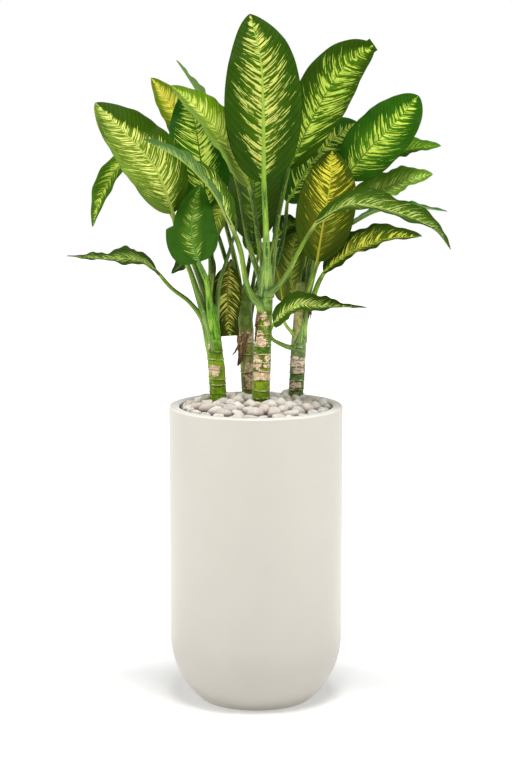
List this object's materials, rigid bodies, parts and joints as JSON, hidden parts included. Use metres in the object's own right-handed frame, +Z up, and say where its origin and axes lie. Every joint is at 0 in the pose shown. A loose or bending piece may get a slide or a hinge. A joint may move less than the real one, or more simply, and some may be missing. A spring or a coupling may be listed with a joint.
{
  "type": "potted dieffenbachia",
  "caption": "Potted dieffenbachia: stout ringed canes with large variegated leaves rise from a pebble top dressing in a tall round planter.",
  "frame": {"origin": "centre of the planter's flat foot, on the surface that it stands on", "axes": "+Z up along the planter, -Y to the front, the side that the picture shows, +X to the right"},
  "size_m": [0.7285, 0.5056, 1.3405],
  "materials": {
    "pot": "matte",
    "soil": "matte",
    "pebbles": "matte",
    "cane": "satin",
    "leaf": "satin",
    "leaf_yellow": "satin"
  },
  "bodies": {
    "root": {"pot": "pot", "soil": "soil", "pebble_layer": "pebbles", "cane_front": "cane", "cane_left": "cane", "cane_back": "cane", "cane_right": "cane", "leaf_top_centre": "leaf", "leaf_upper_right": "leaf", "leaf_front_arch": "leaf", "leaf_upper_left": "leaf", "leaf_crossing_left": "leaf", "leaf_top_left": "leaf", "leaf_lower_left": "leaf", "leaf_left_front": "leaf", "leaf_big_left": "leaf", "leaf_left_drooping": "leaf", "leaf_left_inner": "leaf", "leaf_back_left_upper": "leaf_yellow", "leaf_centre_hanging": "leaf", "leaf_inner_hanging": "leaf", "leaf_left_low_back": "leaf", "leaf_inner_back": "leaf", "leaf_right_large": "leaf", "leaf_right_behind": "leaf", "leaf_right_far": "leaf", "leaf_right_dark": "leaf", "leaf_right_yellow": "leaf_yellow", "leaf_right_thin": "leaf", "leaf_right_lower": "leaf", "leaf_right_back_low": "leaf", "leaf_front_low_right": "leaf", "leaf_inner_small": "leaf", "leaf_rear_high": "leaf", "leaf_rear_right": "leaf", "leaf_rear_left": "leaf", "leaf_rear_low": "leaf"}
  },
  "joints": []
}
